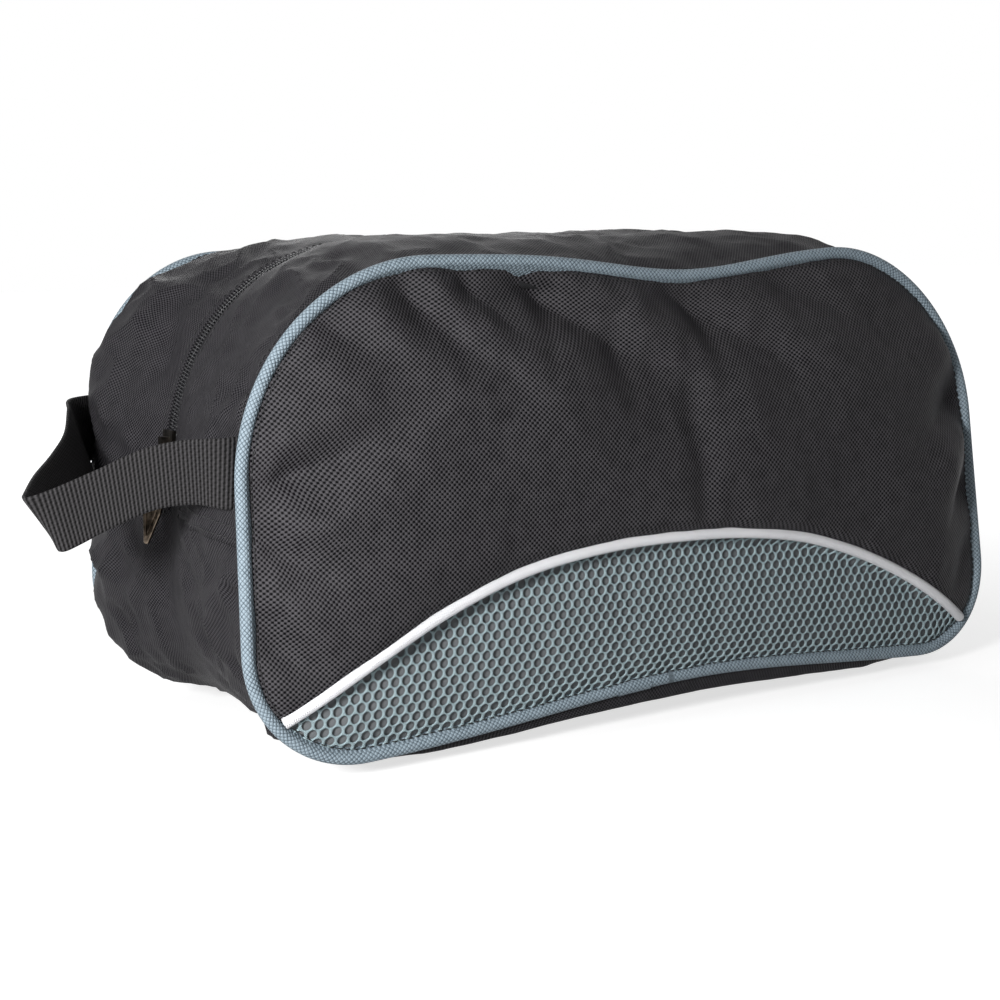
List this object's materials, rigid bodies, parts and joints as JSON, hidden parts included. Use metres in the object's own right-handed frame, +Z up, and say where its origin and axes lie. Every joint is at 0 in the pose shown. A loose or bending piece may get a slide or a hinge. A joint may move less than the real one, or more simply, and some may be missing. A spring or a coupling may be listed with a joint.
{
  "type": "shoe bag",
  "caption": "Soft shoe bag with a zip over its crown and ends, piped side panels, arched mesh vents low on the sides and a webbing handle at one end.",
  "frame": {"origin": "centre of the flat base, on the floor plane", "axes": "+X along the bag's length, away from the handle; -Y towards the front panel; +Z up"},
  "size_m": [0.4109, 0.1884, 0.1917],
  "materials": {
    "panel_fabric": "black basket-weave polyester with pale flecks",
    "gusset_fabric": "black close-woven polyester, slightly shiny",
    "mesh_net": "grey-green open hexagonal net",
    "backing_fabric": "mid-grey lining cloth",
    "white_piping": "white fine-woven piping",
    "grey_piping": "blue-grey bias-woven piping",
    "filler_cord": "extruded filler cord",
    "binding_tape": "black woven tape",
    "zip_tape": "black herringbone zip tape",
    "zip_coil": "black nylon coil",
    "zip_metal": "gunmetal finish",
    "slider_metal": "gunmetal finish",
    "pull_metal": "antique bronze finish",
    "webbing": "black ribbed webbing"
  },
  "bodies": {
    "root": {"front_panel": "panel_fabric", "back_panel": "panel_fabric", "front_mesh": "mesh_net", "back_mesh": "mesh_net", "front_mesh_backing": "backing_fabric", "back_mesh_backing": "backing_fabric", "front_arc_piping": "white_piping", "back_arc_piping": "white_piping", "front_piping_sleeve": "grey_piping", "back_piping_sleeve": "grey_piping", "front_piping_cord": "filler_cord", "back_piping_cord": "filler_cord", "front_seam_binding": "binding_tape", "back_seam_binding": "binding_tape", "front_zip_gusset": "gusset_fabric", "back_zip_gusset": "gusset_fabric", "front_zip_tape": "zip_tape", "back_zip_tape": "zip_tape", "front_zip_coil": "zip_coil", "back_zip_coil": "zip_coil", "base_gusset": "gusset_fabric", "left_end_seam_tape": "binding_tape", "right_end_seam_tape": "binding_tape", "zip_top_stops": "zip_metal", "zip_bottom_stop": "zip_metal", "handle_front_tail": "webbing", "handle_back_tail": "webbing"},
    "slider": {"zip_slider_body": "slider_metal", "zip_slider_bridge": "slider_metal"},
    "pull": {"zip_pull": "pull_metal"},
    "handle": {"handle_webbing": "webbing"}
  },
  "joints": [
    {"name": "slider_travel", "type": "hinge", "parent": "root", "child": "slider", "pos_m": [-0.088, 0, 0.11], "axis": [0, 1, 0], "range_deg": [0, 81]},
    {"name": "pull_swing", "type": "hinge", "parent": "slider", "child": "pull", "pos_m": [-0.17209, 0, 0.11588], "axis": [0, 1, 0], "range_deg": [-1, 160]},
    {"name": "handle_swing", "type": "hinge", "parent": "root", "child": "handle", "pos_m": [-0.176, 0, 0.113], "axis": [0, 1, 0], "range_deg": [-20, 35]}
  ]
}
